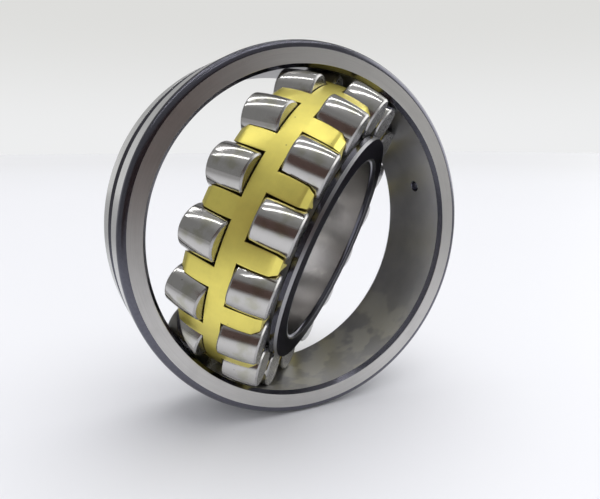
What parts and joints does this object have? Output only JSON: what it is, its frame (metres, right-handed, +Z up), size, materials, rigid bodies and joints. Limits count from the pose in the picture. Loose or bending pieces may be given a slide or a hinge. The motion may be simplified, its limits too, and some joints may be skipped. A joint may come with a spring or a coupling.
{
  "type": "spherical roller bearing",
  "caption": "Double-row spherical roller bearing with a one-piece machined cage, shown with its inner group swung out of line.",
  "frame": {"origin": "centre of the raceway sphere, which is the middle of the outer ring and the point the inner group swings about", "axes": "Y along the outer ring's axis with its front face towards -Y, +Z up, so that the ring stands on its rim at Z = -42.5 mm; +X to the right seen from the front"},
  "size_m": [0.085, 0.0691, 0.085],
  "materials": {
    "ring_steel": "ground satin faces and rim, dark unground corners",
    "inner_ring_steel": "ground satin",
    "guide_ring_steel": "turned",
    "cage_brass": "satin, machined",
    "roller_steel": "superfinished, bright"
  },
  "bodies": {
    "outer_ring": {"outer_ring": "ring_steel"},
    "inner_ring": {"inner_ring": "inner_ring_steel"},
    "guide_ring": {"guide_ring": "guide_ring_steel"},
    "cage": {"cage": "cage_brass"},
    "roller_front_01": {"roller_front_01": "roller_steel"},
    "roller_front_02": {"roller_front_02": "roller_steel"},
    "roller_front_03": {"roller_front_03": "roller_steel"},
    "roller_front_04": {"roller_front_04": "roller_steel"},
    "roller_front_05": {"roller_front_05": "roller_steel"},
    "roller_front_06": {"roller_front_06": "roller_steel"},
    "roller_front_07": {"roller_front_07": "roller_steel"},
    "roller_front_08": {"roller_front_08": "roller_steel"},
    "roller_front_09": {"roller_front_09": "roller_steel"},
    "roller_front_10": {"roller_front_10": "roller_steel"},
    "roller_front_11": {"roller_front_11": "roller_steel"},
    "roller_front_12": {"roller_front_12": "roller_steel"},
    "roller_front_13": {"roller_front_13": "roller_steel"},
    "roller_front_14": {"roller_front_14": "roller_steel"},
    "roller_front_15": {"roller_front_15": "roller_steel"},
    "roller_front_16": {"roller_front_16": "roller_steel"},
    "roller_rear_01": {"roller_rear_01": "roller_steel"},
    "roller_rear_02": {"roller_rear_02": "roller_steel"},
    "roller_rear_03": {"roller_rear_03": "roller_steel"},
    "roller_rear_04": {"roller_rear_04": "roller_steel"},
    "roller_rear_05": {"roller_rear_05": "roller_steel"},
    "roller_rear_06": {"roller_rear_06": "roller_steel"},
    "roller_rear_07": {"roller_rear_07": "roller_steel"},
    "roller_rear_08": {"roller_rear_08": "roller_steel"},
    "roller_rear_09": {"roller_rear_09": "roller_steel"},
    "roller_rear_10": {"roller_rear_10": "roller_steel"},
    "roller_rear_11": {"roller_rear_11": "roller_steel"},
    "roller_rear_12": {"roller_rear_12": "roller_steel"},
    "roller_rear_13": {"roller_rear_13": "roller_steel"},
    "roller_rear_14": {"roller_rear_14": "roller_steel"},
    "roller_rear_15": {"roller_rear_15": "roller_steel"},
    "roller_rear_16": {"roller_rear_16": "roller_steel"}
  },
  "joints": [
    {"name": "swivel", "type": "hinge", "parent": "outer_ring", "child": "guide_ring", "pos_m": [0, 0, 0], "axis": [0.4787, 0, 0.878], "range_deg": [-50.8, 41.2]},
    {"name": "inner_spin", "type": "hinge", "parent": "guide_ring", "child": "inner_ring", "pos_m": [0, 0, 0], "axis": [0.6606, -0.6587, -0.3602], "continuous": true},
    {"name": "cage_turn", "type": "hinge", "parent": "guide_ring", "child": "cage", "pos_m": [0, 0, 0], "axis": [0.6606, -0.6587, -0.3602], "continuous": true},
    {"name": "roller_front_01_spin", "type": "hinge", "parent": "cage", "child": "roller_front_01", "pos_m": [0.02826, 0.01228, 0.01282], "axis": [0.5175, -0.7363, -0.4359], "continuous": true},
    {"name": "roller_front_02_spin", "type": "hinge", "parent": "cage", "child": "roller_front_02", "pos_m": [0.02487, 0.00391, 0.0219], "axis": [0.536, -0.6908, -0.4854], "continuous": true},
    {"name": "roller_front_03_spin", "type": "hinge", "parent": "cage", "child": "roller_front_03", "pos_m": [0.01829, -0.00565, 0.02733], "axis": [0.5718, -0.6387, -0.5149], "continuous": true},
    {"name": "roller_front_04_spin", "type": "hinge", "parent": "cage", "child": "roller_front_04", "pos_m": [0.00954, -0.01495, 0.02827], "axis": [0.6195, -0.588, -0.52], "continuous": true},
    {"name": "roller_front_05_spin", "type": "hinge", "parent": "cage", "child": "roller_front_05", "pos_m": [-0.00008, -0.02257, 0.02458], "axis": [0.6718, -0.5465, -0.4999], "continuous": true},
    {"name": "roller_front_06_spin", "type": "hinge", "parent": "cage", "child": "roller_front_06", "pos_m": [-0.00908, -0.02736, 0.01682], "axis": [0.7209, -0.5205, -0.4576], "continuous": true},
    {"name": "roller_front_07_spin", "type": "hinge", "parent": "cage", "child": "roller_front_07", "pos_m": [-0.0161, -0.02857, 0.00617], "axis": [0.7591, -0.5139, -0.3997], "continuous": true},
    {"name": "roller_front_08_spin", "type": "hinge", "parent": "cage", "child": "roller_front_08", "pos_m": [-0.02006, -0.02604, -0.00575], "axis": [0.7807, -0.5277, -0.3348], "continuous": true},
    {"name": "roller_front_09_spin", "type": "hinge", "parent": "cage", "child": "roller_front_09", "pos_m": [-0.02038, -0.02014, -0.01711], "axis": [0.7824, -0.5598, -0.2729], "continuous": true},
    {"name": "roller_front_10_spin", "type": "hinge", "parent": "cage", "child": "roller_front_10", "pos_m": [-0.01699, -0.01177, -0.0262], "axis": [0.7639, -0.6054, -0.2234], "continuous": true},
    {"name": "roller_front_11_spin", "type": "hinge", "parent": "cage", "child": "roller_front_11", "pos_m": [-0.01041, -0.00221, -0.03163], "axis": [0.7281, -0.6575, -0.1938], "continuous": true},
    {"name": "roller_front_12_spin", "type": "hinge", "parent": "cage", "child": "roller_front_12", "pos_m": [-0.00165, 0.00709, -0.03257], "axis": [0.6804, -0.7081, -0.1887], "continuous": true},
    {"name": "roller_front_13_spin", "type": "hinge", "parent": "cage", "child": "roller_front_13", "pos_m": [0.00796, 0.01471, -0.02887], "axis": [0.6281, -0.7496, -0.2088], "continuous": true},
    {"name": "roller_front_14_spin", "type": "hinge", "parent": "cage", "child": "roller_front_14", "pos_m": [0.01696, 0.0195, -0.02111], "axis": [0.5791, -0.7757, -0.2511], "continuous": true},
    {"name": "roller_front_15_spin", "type": "hinge", "parent": "cage", "child": "roller_front_15", "pos_m": [0.02398, 0.02071, -0.01047], "axis": [0.5408, -0.7823, -0.3091], "continuous": true},
    {"name": "roller_front_16_spin", "type": "hinge", "parent": "cage", "child": "roller_front_16", "pos_m": [0.02795, 0.01818, 0.00145], "axis": [0.5192, -0.7685, -0.374], "continuous": true},
    {"name": "roller_rear_01_spin", "type": "hinge", "parent": "cage", "child": "roller_rear_01", "pos_m": [0.01912, 0.01619, 0.02204], "axis": [0.7756, -0.5813, -0.2461], "continuous": true},
    {"name": "roller_rear_02_spin", "type": "hinge", "parent": "cage", "child": "roller_rear_02", "pos_m": [0.01405, 0.00705, 0.02944], "axis": [0.7479, -0.6311, -0.2058], "continuous": true},
    {"name": "roller_rear_03_spin", "type": "hinge", "parent": "cage", "child": "roller_rear_03", "pos_m": [0.00623, -0.00257, 0.03268], "axis": [0.7053, -0.6835, -0.1881], "continuous": true},
    {"name": "roller_rear_04_spin", "type": "hinge", "parent": "cage", "child": "roller_rear_04", "pos_m": [-0.00314, -0.01119, 0.03128], "axis": [0.6543, -0.7304, -0.1957], "continuous": true},
    {"name": "roller_rear_05_spin", "type": "hinge", "parent": "cage", "child": "roller_rear_05", "pos_m": [-0.01263, -0.01752, 0.02544], "axis": [0.6027, -0.7649, -0.2275], "continuous": true},
    {"name": "roller_rear_06_spin", "type": "hinge", "parent": "cage", "child": "roller_rear_06", "pos_m": [-0.02079, -0.02058, 0.01606], "axis": [0.5582, -0.7815, -0.2786], "continuous": true},
    {"name": "roller_rear_07_spin", "type": "hinge", "parent": "cage", "child": "roller_rear_07", "pos_m": [-0.02639, -0.0199, 0.00456], "axis": [0.5277, -0.7779, -0.3413], "continuous": true},
    {"name": "roller_rear_08_spin", "type": "hinge", "parent": "cage", "child": "roller_rear_08", "pos_m": [-0.02858, -0.0156, -0.00731], "axis": [0.5158, -0.7544, -0.4059], "continuous": true},
    {"name": "roller_rear_09_spin", "type": "hinge", "parent": "cage", "child": "roller_rear_09", "pos_m": [-0.02701, -0.00833, -0.01774], "axis": [0.5243, -0.7148, -0.4627], "continuous": true},
    {"name": "roller_rear_10_spin", "type": "hinge", "parent": "cage", "child": "roller_rear_10", "pos_m": [-0.02193, 0.00081, -0.02514], "axis": [0.552, -0.6651, -0.503], "continuous": true},
    {"name": "roller_rear_11_spin", "type": "hinge", "parent": "cage", "child": "roller_rear_11", "pos_m": [-0.01411, 0.01043, -0.02839], "axis": [0.5946, -0.6127, -0.5207], "continuous": true},
    {"name": "roller_rear_12_spin", "type": "hinge", "parent": "cage", "child": "roller_rear_12", "pos_m": [-0.00474, 0.01905, -0.02698], "axis": [0.6456, -0.5657, -0.513], "continuous": true},
    {"name": "roller_rear_13_spin", "type": "hinge", "parent": "cage", "child": "roller_rear_13", "pos_m": [0.00475, 0.02538, -0.02114], "axis": [0.6973, -0.5313, -0.4812], "continuous": true},
    {"name": "roller_rear_14_spin", "type": "hinge", "parent": "cage", "child": "roller_rear_14", "pos_m": [0.01291, 0.02844, -0.01176], "axis": [0.7417, -0.5146, -0.4301], "continuous": true},
    {"name": "roller_rear_15_spin", "type": "hinge", "parent": "cage", "child": "roller_rear_15", "pos_m": [0.01851, 0.02776, -0.00026], "axis": [0.7722, -0.5183, -0.3675], "continuous": true},
    {"name": "roller_rear_16_spin", "type": "hinge", "parent": "cage", "child": "roller_rear_16", "pos_m": [0.02069, 0.02346, 0.01161], "axis": [0.7841, -0.5417, -0.3028], "continuous": true}
  ],
  "couplings": [
    {"joint": "cage_turn", "follows": "inner_spin", "ratio": 0.4258},
    {"joint": "roller_front_01_spin", "follows": "inner_spin", "ratio": -3.2436},
    {"joint": "roller_front_02_spin", "follows": "inner_spin", "ratio": -3.2436},
    {"joint": "roller_front_03_spin", "follows": "inner_spin", "ratio": -3.2436},
    {"joint": "roller_front_04_spin", "follows": "inner_spin", "ratio": -3.2436},
    {"joint": "roller_front_05_spin", "follows": "inner_spin", "ratio": -3.2436},
    {"joint": "roller_front_06_spin", "follows": "inner_spin", "ratio": -3.2436},
    {"joint": "roller_front_07_spin", "follows": "inner_spin", "ratio": -3.2436},
    {"joint": "roller_front_08_spin", "follows": "inner_spin", "ratio": -3.2436},
    {"joint": "roller_front_09_spin", "follows": "inner_spin", "ratio": -3.2436},
    {"joint": "roller_front_10_spin", "follows": "inner_spin", "ratio": -3.2436},
    {"joint": "roller_front_11_spin", "follows": "inner_spin", "ratio": -3.2436},
    {"joint": "roller_front_12_spin", "follows": "inner_spin", "ratio": -3.2436},
    {"joint": "roller_front_13_spin", "follows": "inner_spin", "ratio": -3.2436},
    {"joint": "roller_front_14_spin", "follows": "inner_spin", "ratio": -3.2436},
    {"joint": "roller_front_15_spin", "follows": "inner_spin", "ratio": -3.2436},
    {"joint": "roller_front_16_spin", "follows": "inner_spin", "ratio": -3.2436},
    {"joint": "roller_rear_01_spin", "follows": "inner_spin", "ratio": -3.2436},
    {"joint": "roller_rear_02_spin", "follows": "inner_spin", "ratio": -3.2436},
    {"joint": "roller_rear_03_spin", "follows": "inner_spin", "ratio": -3.2436},
    {"joint": "roller_rear_04_spin", "follows": "inner_spin", "ratio": -3.2436},
    {"joint": "roller_rear_05_spin", "follows": "inner_spin", "ratio": -3.2436},
    {"joint": "roller_rear_06_spin", "follows": "inner_spin", "ratio": -3.2436},
    {"joint": "roller_rear_07_spin", "follows": "inner_spin", "ratio": -3.2436},
    {"joint": "roller_rear_08_spin", "follows": "inner_spin", "ratio": -3.2436},
    {"joint": "roller_rear_09_spin", "follows": "inner_spin", "ratio": -3.2436},
    {"joint": "roller_rear_10_spin", "follows": "inner_spin", "ratio": -3.2436},
    {"joint": "roller_rear_11_spin", "follows": "inner_spin", "ratio": -3.2436},
    {"joint": "roller_rear_12_spin", "follows": "inner_spin", "ratio": -3.2436},
    {"joint": "roller_rear_13_spin", "follows": "inner_spin", "ratio": -3.2436},
    {"joint": "roller_rear_14_spin", "follows": "inner_spin", "ratio": -3.2436},
    {"joint": "roller_rear_15_spin", "follows": "inner_spin", "ratio": -3.2436},
    {"joint": "roller_rear_16_spin", "follows": "inner_spin", "ratio": -3.2436}
  ]
}
